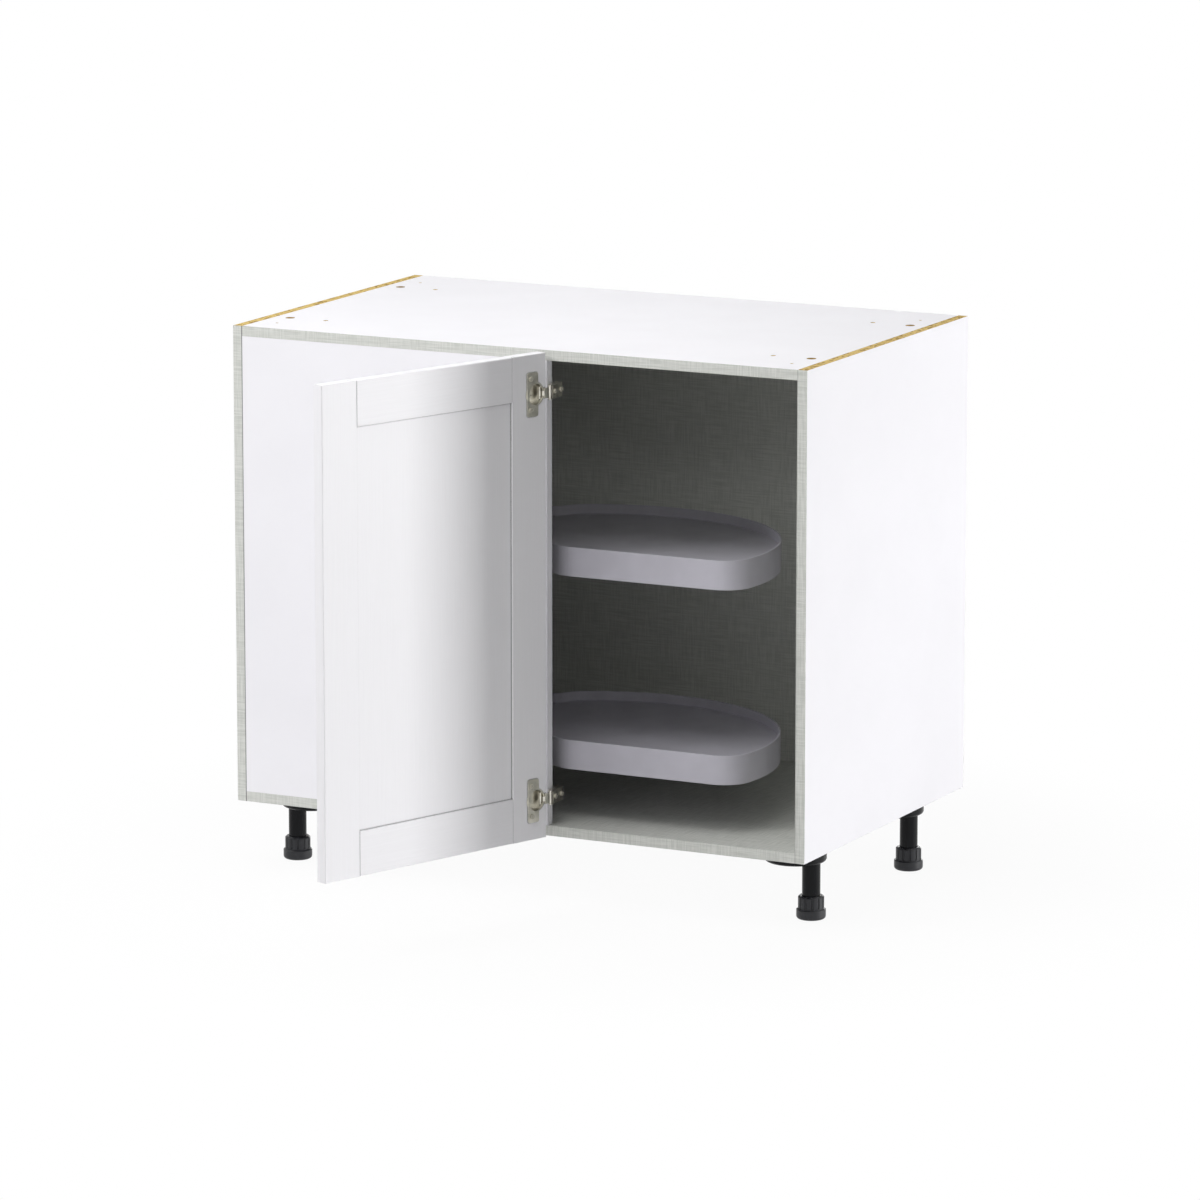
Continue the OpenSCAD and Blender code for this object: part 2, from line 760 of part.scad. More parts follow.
// A channel whose cheeks carry the nose pin and whose back end is clamped to the wing plate
module hinge_arm() {
    cheek = [[arm_low_x, arm_back_y], [arm_low_x, arm_step_y], [arm_nose_x, arm_throat_y],
        [arm_nose_x, arm_nose_y + arm_nose_chamfer], [arm_nose_x + arm_nose_chamfer, arm_nose_y],
        [arm_high_x - arm_nose_chamfer, arm_nose_y], [arm_high_x, arm_nose_y + arm_nose_chamfer],
        [arm_high_x, arm_back_y]];
    difference() {
        union() {
            for (z = [-arm_h / 2, arm_h / 2 - hinge_sheet])
                translate([0, 0, z]) linear_extrude(hinge_sheet) polygon(cheek);
            block([arm_high_x - hinge_sheet, arm_web_y, -arm_h / 2], [arm_high_x, arm_back_y, arm_h / 2]);
        }
        translate([nose_pin.x, nose_pin.y, -arm_h]) cylinder(r = hinge_pin_r + press_fit, h = 2 * arm_h);
        rod_x([arm_high_x - hinge_sheet - cut, clamp_y, 0], clamp_screw_r + loose_fit,
            hinge_sheet + 2 * cut);
        rod_x([arm_high_x - hinge_sheet - cut, adjuster_y, 0], clamp_screw_r + press_fit,
            hinge_sheet + 2 * cut);
    }
}

module hinge_arms() {
    color("silver") at_carcass_hinges() hinge_arm();
}

module hinge_arm_pins() {
    color("gray")
        at_carcass_hinges()
            translate([nose_pin.x, nose_pin.y, -arm_h / 2]) cylinder(r = hinge_pin_r, h = arm_h);
}

// An angle: a tall leaf on the blind panel's rear face, and one as high as the arm beside its free edge
module hinge_wing_plate() {
    difference() {
        union() {
            block([blind_x - plate_reach, blind_back_y, -plate_half_h],
                [blind_x, blind_back_y + hinge_sheet, plate_half_h]);
            block([blind_x - cut, blind_back_y, -arm_h / 2],
                [arm_low_x, blind_back_y + hinge_sheet, arm_h / 2]);
            block([arm_low_x - hinge_sheet, blind_back_y, -arm_h / 2],
                [arm_low_x, arm_back_y + plate_overrun, arm_h / 2]);
        }
        for (side = [-1, 1])
            rod_y([plate_screw_x, blind_back_y - cut, side * plate_screw_z], wood_screw_r + screw_play,
                hinge_sheet + 2 * cut);
        rod_x([arm_low_x - hinge_sheet - cut, clamp_y, 0], clamp_screw_r + press_fit,
            hinge_sheet + 2 * cut);
    }
}

module hinge_wing_plates() {
    color("silver") at_carcass_hinges() hinge_wing_plate();
}

// Screws of the wing plate, the clamp screw through arm and plate, and the arm's adjusting screw
module hinge_plate_screws() {
    clamp_len = arm_high_x - arm_low_x + hinge_sheet;
    color("silver")
        at_carcass_hinges() {
            for (side = [-1, 1])
                translate([plate_screw_x, blind_back_y + hinge_sheet, side * plate_screw_z])
                    rotate([-90, 0, 0])
                        screw_down(wood_screw_r, screw_bite + hinge_sheet, plate_screw_head);
            translate([arm_high_x, clamp_y, 0])
                rotate([0, 90, 0]) screw_down(clamp_screw_r, clamp_len, clamp_screw_head);
            translate([arm_high_x, adjuster_y, 0])
                rotate([0, 90, 0]) screw_down(clamp_screw_r, adjuster_len, clamp_screw_head);
        }
}

// Swing mechanism

module tray_post() {
    color("silver")
        translate([post.x, post.y, floor_z])
            difference() {
                cylinder(r = post_r, h = ceiling_z - floor_z);
                translate([0, 0, -cut]) cylinder(r = post_r - post_wall, h = ceiling_z - floor_z + 2 * cut);
            }
}

// A plate cut straight beside the blind panel, with a collar round the post
module post_flange() {
    difference() {
        union() {
            linear_extrude(post_flange_t)
                polygon(round_rect([-post_flange_half_w, -post_flange_front],
                    [post_flange_half_w, post_flange_back], post_flange_round));
            cylinder(r = post_flange_collar_r, h = post_flange_collar_h);
        }
        translate([0, 0, -cut]) cylinder(r = post_r + press_fit, h = post_flange_collar_h + 2 * cut);
        for (at = flange_screws_at)
            translate([at.x, at.y, -cut])
                cylinder(r = flange_screw_r + screw_play, h = post_flange_t + 2 * cut);
    }
}

module post_floor_flange() {
    color("gray") translate([post.x, post.y, floor_z]) post_flange();
}

module post_ceiling_flange() {
    color("gray") translate([post.x, post.y, ceiling_z]) mirror([0, 0, 1]) post_flange();
}

// A pan-headed screw whose head's underside is at height 0 and whose shank goes down
module screw_down(r, shank, head) {
    slot_w = r / 2;
    slot_len = head[0] * 0.6;
    translate([0, 0, -shank]) cylinder(r = r, h = shank);
    difference() {
        cylinder(r = head[0], h = head[1]);
        block([-slot_w / 2, -slot_len, head[1] / 2], [slot_w / 2, slot_len, head[1] + cut]);
        block([-slot_len, -slot_w / 2, head[1] / 2], [slot_len, slot_w / 2, head[1] + cut]);
    }
}

module post_flange_screws() {
    color("silver")
        for (at = flange_screws_at) {
            translate([post.x + at.x, post.y + at.y, floor_z + post_flange_t])
                screw_down(flange_screw_r, post_flange_t + screw_bite, flange_screw_head);
            translate([post.x + at.x, post.y + at.y, ceiling_z - post_flange_t])
                mirror([0, 0, 1]) screw_down(flange_screw_r, post_flange_t + screw_bite, flange_screw_head);
        }
}

// The pieces of one tray are drawn down from the top of its rim
module support_collar() {
    translate([post.x, post.y, -washer_low_drop - collar_h])
        difference() {
            cylinder(r = hub_r, h = collar_h);
            translate([0, 0, -cut]) cylinder(r = post_r + press_fit, h = collar_h + 2 * cut);
            rod_y([0, 0, collar_h / 2], set_screw_r + press_fit, hub_r + cut);
        }
}

module set_screw() {
    translate([post.x, post.y, -set_screw_drop])
        rod_y([0, post_r + press_fit, 0], set_screw_r, hub_r - post_r - set_screw_recess);
}

module thrust_washer() {
    translate([post.x, post.y, -washer_low_drop])
        difference() {
            cylinder(r = hub_r - washer_inset, h = washer_t);
            translate([0, 0, -cut]) cylinder(r = post_r + loose_fit, h = washer_t + 2 * cut);
        }
}

function arm_outline(half) = belt([disc(post, half), disc(pivot, half)]);

// A flat arm with a pocket in its underside, a hub round the post and a boss round the pivot shaft
module swivel_arm() {
    difference() {
        union() {
            difference() {
                translate([0, 0, -arm_top_drop - arm_t])
                    linear_extrude(arm_t) polygon(arm_outline(arm_w / 2));
                translate([0, 0, -arm_top_drop - arm_t - cut])
                    linear_extrude(arm_pocket_depth + cut) polygon(arm_outline(arm_w / 2 - arm_pocket_wall));
            }
            translate([post.x, post.y, -hub_low_drop]) cylinder(r = hub_r, h = hub_h);
            translate([pivot.x, pivot.y, -arm_top_drop - arm_t])
                cylinder(r = arm_boss_r, h = arm_top_drop + arm_t - plate_low_drop - running_gap);
        }
        translate([post.x, post.y, -hub_low_drop - cut])
            cylinder(r = post_r + running_fit, h = hub_h + 2 * cut);
        translate([pivot.x, pivot.y, -arm_top_drop - arm_t - cut])
            cylinder(r = shaft_r + running_fit, h = arm_top_drop + arm_t);
    }
}

// Ribs under the tray's floor, from the pivot boss to the skirt
module tray_ribs() {
    low = -tray_depth - tray_floor_t - rib_h;
    intersection() {
        translate([0, 0, low]) linear_extrude(rib_h + cut) polygon(belt(tray_discs(), rim_t / 2));
        translate([pivot.x, pivot.y, low])
            for (angle = rib_angles)
                rotate(angle) block([pivot_boss_r - cut, -rib_t / 2, 0], [rib_reach, rib_t / 2, rib_h + cut]);
    }
}

// A floor inside a rim band that goes on below it as a skirt, with a boss for the pivot plate
module tray() {
    outline = tray_discs();
    difference() {
        union() {
            difference() {
                translate([0, 0, -rim_h]) linear_extrude(rim_h) polygon(belt(outline));
                translate([0, 0, -tray_depth])
                    linear_extrude(tray_depth + cut) polygon(belt(outline, rim_t));
                translate([0, 0, -rim_h - cut])
                    linear_extrude(rim_h + cut - tray_depth - tray_floor_t) polygon(belt(outline, rim_t));
            }
            translate([pivot.x, pivot.y, -plate_top_drop])
                cylinder(r = pivot_boss_r, h = pivot_boss_h + cut);
            tray_ribs();
        }
        at_plate_screws()
            translate([0, 0, -plate_top_drop - cut])
                cylinder(r = flange_screw_r + press_fit, h = pivot_boss_h + cut);
    }
}

module at_plate_screws() {
    for (angle = [45 : 90 : 315])
        let (at = pivot + plate_screw_ring * [cos(angle), sin(angle)])
        translate([at.x, at.y, 0]) children();
}

module pivot_plate() {
    difference() {
        translate([pivot.x, pivot.y, -plate_low_drop]) cylinder(r = pivot_plate_r, h = pivot_plate_t);
        translate([pivot.x, pivot.y, -plate_low_drop - cut])
            cylinder(r = shaft_r + press_fit, h = pivot_plate_t + 2 * cut);
        at_plate_screws()
            translate([0, 0, -plate_low_drop - cut])
                cylinder(r = flange_screw_r + screw_play, h = pivot_plate_t + 2 * cut);
    }
}

module pivot_shaft() {
    low = nut_low_drop + shaft_overrun;
    translate([pivot.x, pivot.y, -low]) cylinder(r = shaft_r, h = low - plate_top_drop);
}

module lock_nut() {
    translate([pivot.x, pivot.y, -nut_low_drop])
        difference() {
            cylinder(r = nut_r, h = nut_h, $fn = 6);
            translate([0, 0, -cut]) cylinder(r = shaft_r + press_fit, h = nut_h + 2 * cut);
        }
}

module plate_screws() {
    at_plate_screws()
        translate([0, 0, -plate_low_drop])
            mirror([0, 0, 1])
                screw_down(flange_screw_r, pivot_plate_t + pivot_boss_h - plate_screw_rest,
                    flange_screw_head);
}

module at_upper() {
    translate([0, 0, floor_z + upper_rim]) children();
}

module at_lower() {
    translate([0, 0, floor_z + lower_rim]) children();
}

module collar_set_screws() {
    color("gray") {
        at_upper() set_screw();
        at_lower() set_screw();
    }
}

// Legs

module at_legs() {
    for (x = [-leg_x, leg_x], y = [-leg_y, leg_y]) translate([x, y, 0]) children();
}

// Places its children under the carcass at each socket's centre, with +X away from the leg's tube
module at_leg_sockets() {
    both_sides()
        for (y = [-leg_y, leg_y])
            translate([leg_x - socket_shift, y, base_z]) mirror([1, 0, 0]) children();
}

module socket_screw_places() {
    for (angle = socket_screw_angles)
        rotate(180 - angle) translate([socket_screw_ring, 0, 0]) children();
}

module leg_socket() {
    rounded = [for (a = [0 : 15 : 90])
        [socket_r - socket_round + socket_round * cos(a), -socket_h + socket_round - socket_round * sin(a)]];
    difference() {
        rotate_extrude($fn = 96) polygon(concat([[0, 0], [socket_r, 0]], rounded, [[0, -socket_h]]));
        translate([-socket_shift, 0, -socket_h - cut])
            cylinder(r = leg_tube_r + press_fit, h = socket_h + tube_top - leg_h + cut + press_fit);
        socket_screw_places() {
            translate([0, 0, -socket_h - cut])
                cylinder(r = socket_screw_head[0] + 2 * screw_play, h = socket_h - socket_skin + cut);
            translate([0, 0, -socket_skin - cut])
                cylinder(r = socket_screw_r + screw_play, h = socket_skin + 2 * cut);
        }
    }
}

module leg_sockets() {
    color("dimgray") at_leg_sockets() leg_socket();
}

module leg_socket_screws() {
    color("silver")
        at_leg_sockets()
            socket_screw_places()
                translate([0, 0, -socket_skin])
                    mirror([0, 0, 1])
                        screw_down(socket_screw_r, socket_skin + screw_bite, socket_screw_head);
}

module leg_tube() {
    rotate_extrude()
        polygon([[stem_r + running_fit, foot_shoulder], [leg_tube_r, foot_shoulder], [leg_tube_r, tube_top],
            [tube_bore_r, tube_top], [tube_bore_r, foot_shoulder + thread_len],
            [stem_r + running_fit, foot_shoulder + thread_len]]);
}

module leg_tubes() {
    color("dimgray") at_legs() leg_tube();
}

// A foot stands on the floor; its fluted collar slides over the tube, its stem in the tube's thread
module foot() {
    top = foot_base_h + foot_collar_h;
    sleeve_r = leg_tube_r + running_fit;
    rounded = [for (a = [90 : -15 : 0])
        [foot_r - foot_round + foot_round * cos(a), foot_round - foot_round * sin(a)]];
    difference() {
        rotate_extrude($fn = 72)
            polygon(concat([[0, 0]], rounded, [[foot_r, foot_base_h - foot_bevel],
                [foot_r - foot_bevel, foot_base_h], [foot_collar_r, foot_base_h],
                [foot_collar_r, top - collar_chamfer], [foot_collar_r - collar_chamfer, top],
                [sleeve_r, top], [sleeve_r, foot_shoulder], [stem_r, foot_shoulder],
                [stem_r, stem_top - stem_bevel], [stem_r - stem_bevel, stem_top], [0, stem_top]]));
        for (i = [0 : flutes - 1])
            rotate(i * 360 / flutes) translate([flute_ring, 0, foot_base_h + flute_rise])
                cylinder(r = flute_r, h = foot_collar_h);
    }
}

module foot_at(x, y) {
    color("dimgray") translate([x, y, 0]) foot();
}

left_side_panel();
right_side_panel();
top_panel();
bottom_panel();
back_panel();
blind_panel();
side_edge_bands();
cross_edge_bands();
blind_edge_band();
cam_locks();
cam_bolts();
joint_dowels();
door_hinge_stile();
door_free_stile();
door_top_rail();
door_bottom_rail();
door_centre_panel();
hinge_cups();
hinge_cup_screws();
hinge_cup_pins();
hinge_links();
hinge_arms();
hinge_arm_pins();
hinge_wing_plates();
hinge_plate_screws();
tray_post();
post_floor_flange();
post_ceiling_flange();
post_flange_screws();
collar_set_screws();
color("gray") at_upper() support_collar();  // upper_support_collar
color("white") at_upper() thrust_washer();  // upper_thrust_washer
color("gray") at_upper() swivel_arm();  // upper_swivel_arm
color("thistle") at_upper() tray();  // upper_tray
color("silver") at_upper() pivot_plate();  // upper_pivot_plate
color("silver") at_upper() pivot_shaft();  // upper_pivot_shaft
color("silver") at_upper() lock_nut();  // upper_lock_nut
color("silver") at_upper() plate_screws();  // upper_plate_screws
color("gray") at_lower() support_collar();  // lower_support_collar
color("white") at_lower() thrust_washer();  // lower_thrust_washer
color("gray") at_lower() swivel_arm();  // lower_swivel_arm
color("thistle") at_lower() tray();  // lower_tray
color("silver") at_lower() pivot_plate();  // lower_pivot_plate
color("silver") at_lower() pivot_shaft();  // lower_pivot_shaft
color("silver") at_lower() lock_nut();  // lower_lock_nut
color("silver") at_lower() plate_screws();  // lower_plate_screws
leg_sockets();
leg_socket_screws();
leg_tubes();
foot_at(-leg_x, -leg_y);  // foot_front_left
foot_at(leg_x, -leg_y);  // foot_front_right
foot_at(-leg_x, leg_y);  // foot_back_left
foot_at(leg_x, leg_y);  // foot_back_right
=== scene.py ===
"""Looks of a blind corner base cabinet: finishes, stage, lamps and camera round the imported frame."""

import math

import bpy
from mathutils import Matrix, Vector

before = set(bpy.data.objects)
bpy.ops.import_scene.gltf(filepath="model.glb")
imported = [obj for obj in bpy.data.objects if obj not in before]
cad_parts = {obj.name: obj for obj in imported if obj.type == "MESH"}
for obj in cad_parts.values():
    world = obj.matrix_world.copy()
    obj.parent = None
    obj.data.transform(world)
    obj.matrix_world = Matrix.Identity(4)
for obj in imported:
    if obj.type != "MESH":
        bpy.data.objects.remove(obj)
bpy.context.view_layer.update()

# Camera: the photograph's place in metres, its turn in degrees, and its lens and sensor in millimetres
CAMERA_PLACE = (4.764866, -9.511208, 2.522386)
CAMERA_YAW = 26.628
CAMERA_PITCH_DOWN = 11.135
CAMERA_LENS = 205.2
CAMERA_SENSOR = 36.0
CAMERA_REACH = 100.0

# Floor: half its width, its grey for the lamps' light, and how its faint shadow fades out, in metres
FLOOR_HALF = 20.0
FLOOR_GREY = 0.80
FLOOR_SHOWN_GREY = 0.9
FLOOR_SHADOW_SHARE = 0.06
FLOOR_SHADOW_REACH = (0.6, 1.1)

# Ambient light: brighter low down in front of the object, between these parts of a direction's Y and Z
AMBIENT = 0.105
FRONT_AMBIENT = 0.47
FRONT_AMBIENT_Y = (-0.2, -0.7)
FRONT_AMBIENT_Z = (0.92, 0.55)

# Softboxes: place and aim in metres, width and height in metres, power in watts
SOFTBOXES = {
    "top": dict(place=(-0.6, -0.3, 3.4), aim=(0.0, 0.0, 0.88), size=(3.0, 2.4), watts=36),
    "front_high": dict(place=(0.1, -1.9, 3.3), aim=(0.0, -0.3, 0.5), size=(2.4, 1.0), watts=22),
    "left_high": dict(place=(-1.9, -2.6, 2.9), aim=(0.0, -0.3, 0.5), size=(1.8, 1.2), watts=54),
    "right_side": dict(place=(5.62, 1.69, 0.52), aim=(0.3, 0.0, 0.5), size=(1.3, 0.95), watts=190),
    "behind": dict(place=(-0.9, 4.2, 0.6), aim=(0.0, 0.3, 0.45), size=(2.6, 0.9), watts=72),
}


def srgb(red, green, blue):
    """A colour given in 0 to 255 sRGB steps, as linear light."""
    def linear(step):
        share = step / 255
        return share / 12.92 if share <= 0.04045 else ((share + 0.055) / 1.055) ** 2.4
    return (linear(red), linear(green), linear(blue), 1.0)


def scaled(colour, share, lift=0.0):
    """The colour with each channel scaled and lifted, and kept at 1 or less."""
    return tuple(min(1.0, share * channel + lift) for channel in colour[:3]) + (1.0,)


# Colours of the finishes
WHITE_FACE = srgb(250, 249, 253)
LINEN_LIGHT = srgb(222, 223, 218)
LINEN_DARK = srgb(202, 204, 198)
CHIP_GOLD = srgb(202, 170, 94)
CHIP_PALE = srgb(228, 202, 132)
CHIP_DARK = srgb(140, 108, 44)
SEAM_GREY = srgb(150, 148, 146)
# Grey of the painted shade in the door's grooves and in the bands' joint lines
PAINTED_SHADE_GREY = srgb(112, 111, 112)
DOOR_WHITE = srgb(250, 249, 252)
NICKEL = srgb(226, 223, 212)
NICKEL_DULL = srgb(196, 193, 182)
ZINC = srgb(190, 190, 188)
ZINC_YELLOW = srgb(168, 134, 62)
BEECH_LIGHT = srgb(222, 184, 136)
BEECH_DARK = srgb(190, 146, 98)
STEEL = srgb(178, 180, 184)
WASHER_WHITE = srgb(225, 224, 218)
TRAY_GREY = srgb(197, 195, 204)
LEG_BLACK = srgb(15, 16, 19)
FOOT_BLACK = srgb(40, 41, 45)
PURE_WHITE = (1.0, 1.0, 1.0, 1.0)

# Depth of the fine relief on each kind of surface, in metres
BOARD_RELIEF = 0.00006
FOIL_RELIEF = 0.00003
METAL_RELIEF = 0.00003
WOOD_RELIEF = 0.00005
TRAY_RELIEF = 0.00005
WASHER_RELIEF = 0.00002
LEG_RELIEF = 0.00002
FOOT_RELIEF = 0.00004

# Radius that the light sees on the edges of each kind of surface, in metres
BOARD_EDGE = 0.0004
BAND_EDGE = 0.0005
DOOR_EDGE = 0.0005
METAL_EDGE = 0.0004
DOWEL_EDGE = 0.0004
TRAY_EDGE = 0.0008
WASHER_EDGE = 0.0006
LEG_EDGE = 0.0007

# Share of another colour that the edges of each kind of surface show
BOARD_WEAR = 0.35
BAND_WEAR = 0.30
DOOR_WEAR = 0.45
METAL_WEAR = 0.6

# Specular level of the boards' coating
BOARD_SHINE = 0.35

# Linen print, per metre: threads, how often a thread changes along its run, and patches of slubs
LINEN_THREADS = 430.0
LINEN_RUNS = 22.0
LINEN_PATCHES = 24.0

# Chipboard, per metre: flakes and the darker splinters, both drawn out along the board's depth
CHIP_FLAKES = 480.0
CHIP_SPLINTERS = 260.0
CHIP_STRETCH = (1.0, 0.45, 1.0)

# Grain, per metre along each axis: brushed foil and metal, beech, and finishes without a direction
UPRIGHT_GRAIN = (700.0, 700.0, 9.0)
LEVEL_GRAIN = (9.0, 9.0, 700.0)
HINGE_GRAIN = (200.0, 200.0, 40.0)
POST_GRAIN = (500.0, 500.0, 12.0)
BEECH_GRAIN = (40.0, 900.0, 900.0)
BEECH_RAYS = (300.0, 2600.0, 2600.0)
EVEN_GRAIN = (300.0, 300.0, 300.0)

# Other marks, per metre: clouds in a colour or in its sheen, then fine peel, pits and moulded grain
MELAMINE_MOTTLE = 9.0
MELAMINE_SHEEN = 4.0
METAL_STAINS = 60.0
PLASTIC_CLOUDS = 14.0
MELAMINE_PEEL = 1400.0
FOIL_PEEL = 1100.0
METAL_PITS = 900.0
TRAY_MOULD = 1500.0
WASHER_MOULD = 1800.0
LEG_MOULD = 1600.0
FOOT_MOULD = 1200.0

# Noise between which most finishes go from their darker tone to their lighter one
SOFT_TONES = (0.3, 0.7)

# How far the rounded normal turns away from open face to sharp edge, and how painted shade darkens a groove
EDGE_TURN = (0.02, 0.25)
PAINTED_GROOVE_SHADE = (0.05, 0.45)

# Part of the normal along an axis, above which a surface faces mostly or squarely that way
FACES_MOSTLY = 0.7
FACES_SQUARELY = 0.9

# Each side of a board: the normal's axis, and its sign on that side
FACE_AXIS = {"-x": (0, -1), "+x": (0, 1), "-y": (1, -1), "+y": (1, 1), "-z": (2, -1), "+z": (2, 1)}

# Painted shade line in the joint gap along the inner edge of each side panel's band: its place and fade in
# metres, and its darkness, more on the left than on the right
JOINT_SHADE_X = 0.4799
JOINT_SHADE_FADE = (0.0011, 0.0005)
LEFT_JOINT_SHADE = 0.9
RIGHT_JOINT_SHADE = 0.3

# Widest groove on the door that gets painted shade, in metres
DOOR_SHADED_GROOVE = 0.003


class Nodes:
    """The node tree of a material or a world, cleared, and short calls for new nodes in it."""

    def __init__(self, owner):
        owner.use_nodes = True
        self.tree = owner.node_tree
        self.tree.nodes.clear()

    def new(self, kind):
        """A new shader node of this kind."""
        return self.tree.nodes.new("ShaderNode" + kind)

    def feed(self, socket, value):
        """Links an output, or writes a plain value, into an input socket."""
        if isinstance(value, bpy.types.NodeSocket):
            self.tree.links.new(value, socket)
        else:
            socket.default_value = value

    def maths(self, operation, first, second=0.0):
        """The result of a Math node."""
        node = self.new("Math")
        node.operation = operation
        for socket, value in zip(node.inputs, (first, second)):
            self.feed(socket, value)
        return node.outputs[0]

    def blend(self, share, first, second):
        """A number that goes from first to second as share goes from 0 to 1."""
        node = self.new("Mix")
        node.data_type = "FLOAT"
        for socket, value in zip((node.inputs[0], node.inputs[2], node.inputs[3]), (share, first, second)):
            self.feed(socket, value)
        return node.outputs[0]

    def tint(self, share, first, second):
        """A colour that goes from first to second as share goes from 0 to 1."""
        node = self.new("Mix")
        node.data_type = "RGBA"
        for socket, value in zip((node.inputs[0], node.inputs[6], node.inputs[7]), (share, first, second)):
            self.feed(socket, value)
        return node.outputs[2]

    def mixed(self, share, first, second):
        """A shader that goes from first to second as share goes from 0 to 1."""
        node = self.new("MixShader")
        for socket, value in zip(node.inputs, (share, first, second)):
            self.feed(socket, value)
        return node.outputs[0]

    def smooth(self, value, low, high):
        """0 at low, 1 at high, and a smooth step between them."""
        node = self.new("MapRange")
        node.interpolation_type = "SMOOTHSTEP"
        self.feed(node.inputs["Value"], value)
        node.inputs["From Min"].default_value = low
        node.inputs["From Max"].default_value = high
        return node.outputs[0]

    def axes(self, vector):
        """The vector's X, Y and Z."""
        node = self.new("SeparateXYZ")
        self.feed(node.inputs[0], vector)
        return node.outputs[0], node.outputs[1], node.outputs[2]

    def seen_directly(self):
        """1 where a ray comes from the camera, a mirror or glass, and 0 elsewhere."""
        paths = self.new("LightPath")
        seen = paths.outputs["Is Camera Ray"]
        for name in ("Is Glossy Ray", "Is Transmission Ray"):
            seen = self.maths("MAXIMUM", seen, paths.outputs[name])
        return seen

    def matt(self, grey):
        """A matt grey shader."""
        node = self.new("BsdfDiffuse")
        node.inputs["Color"].default_value = (grey, grey, grey, 1.0)
        return node.outputs[0]

    def background(self, strength):
        """White light of this strength from all round."""
        node = self.new("Background")
        node.inputs["Color"].default_value = PURE_WHITE
        self.feed(node.inputs["Strength"], strength)
        return node.outputs[0]


class Finish(Nodes):
    """A material with one Principled shader, and short calls for the marks that feed it."""

    def __init__(self, name, shine, metallic=0.0):
        self.material = bpy.data.materials.new(name)
        super().__init__(self.material)
        self.shader = self.new("BsdfPrincipled")
        self.shader.inputs["Specular IOR Level"].default_value = shine
        self.shader.inputs["Metallic"].default_value = metallic
        self.feed(self.new("OutputMaterial").inputs["Surface"], self.shader.outputs["BSDF"])
        self.place = self.new("TexCoord")
        self.object_place = self.place.outputs["Object"]

    def stretch(self, vector, scale):
        """The vector with each axis multiplied by its own scale."""
        node = self.new("Mapping")
        self.feed(node.inputs["Vector"], vector)
        node.inputs["Scale"].default_value = scale
        return node.outputs[0]

    def noise(self, vector, scale, detail=2.0, roughness=0.5):
        """Smooth noise from 0 to 1."""
        node = self.new("TexNoise")
        self.feed(node.inputs["Vector"], vector)
        node.inputs["Scale"].default_value = scale
        node.inputs["Detail"].default_value = detail
        node.inputs["Roughness"].default_value = roughness
        return node.outputs["Fac"]

    def cells(self, vector, scale):
        """Random value of each Voronoi cell, and the distance to the cell's middle."""
        node = self.new("TexVoronoi")
        self.feed(node.inputs["Vector"], vector)
        node.inputs["Scale"].default_value = scale
        split = self.new("SeparateColor")
        self.feed(split.inputs[0], node.outputs["Color"])
        return split.outputs[0], node.outputs["Distance"]

    def point(self, x, y):
        """The vector X, Y and 0."""
        node = self.new("CombineXYZ")
        self.feed(node.inputs[0], x)
        self.feed(node.inputs[1], y)
        return node.outputs[0]

    def faces(self):
        """The normal's axes, and 1 where the surface faces along X and where it faces along Z."""
        normal = self.axes(self.place.outputs["Normal"])
        faces_x = self.maths("GREATER_THAN", self.maths("ABSOLUTE", normal[0]), FACES_MOSTLY)
        faces_z = self.maths("GREATER_THAN", self.maths("ABSOLUTE", normal[2]), FACES_MOSTLY)
        return normal, faces_x, faces_z

    def edge(self, radius):
        """A normal rounded over sharp edges, and how near an edge lies, from 0 to 1."""
        rounded = self.new("Bevel")
        rounded.samples = 4
        rounded.inputs["Radius"].default_value = radius
        dot = self.new("VectorMath")
        dot.operation = "DOT_PRODUCT"
        self.feed(dot.inputs[0], rounded.outputs[0])
        self.feed(dot.inputs[1], self.new("NewGeometry").outputs["Normal"])
        turned = self.maths("SUBTRACT", 1.0, dot.outputs["Value"])
        return rounded.outputs[0], self.smooth(turned, *EDGE_TURN)

    def worn_edge(self, radius, colour, share, edge_colour):
        """The rounded normal, and the colour with this share of the edge colour near an edge."""
        rounded, near = self.edge(radius)
        return rounded, self.tint(self.maths("MULTIPLY", near, share), colour, edge_colour)

    def groove_shade_mask(self, reach):
        """Mask of painted shade: 0 on open faces, and up to 1 down in grooves and inner corners that are
        narrower than reach.
        """
        node = self.new("AmbientOcclusion")
        node.samples = 8
        node.inputs["Distance"].default_value = reach
        return self.smooth(self.maths("SUBTRACT", 1.0, node.outputs["AO"]), *PAINTED_GROOVE_SHADE)

    def finish(self, colour, roughness, height, depth, normal):
        """The material, with the surface's relief added to the normal."""
        bump = self.new("Bump")
        bump.inputs["Strength"].default_value = 1.0
        bump.inputs["Distance"].default_value = depth
        self.feed(bump.inputs["Height"], height)
        self.feed(bump.inputs["Normal"], normal)
        surface = (("Base Color", colour), ("Roughness", roughness), ("Normal", bump.outputs[0]))
        for name, value in surface:
            self.feed(self.shader.inputs[name], value)
        return self.material


def melamine(look):
    """White melamine: colour, roughness and height of its fine peel."""
    mottle = look.noise(look.object_place, MELAMINE_MOTTLE, detail=3.0)
    sheen = look.noise(look.object_place, MELAMINE_SHEEN, detail=3.0)
    peel = look.noise(look.object_place, MELAMINE_PEEL, roughness=0.6)
    colour = look.tint(look.smooth(mottle, *SOFT_TONES), scaled(WHITE_FACE, 0.975), WHITE_FACE)
    roughness = look.blend(sheen, 0.38, 0.52)
    return colour, roughness, peel


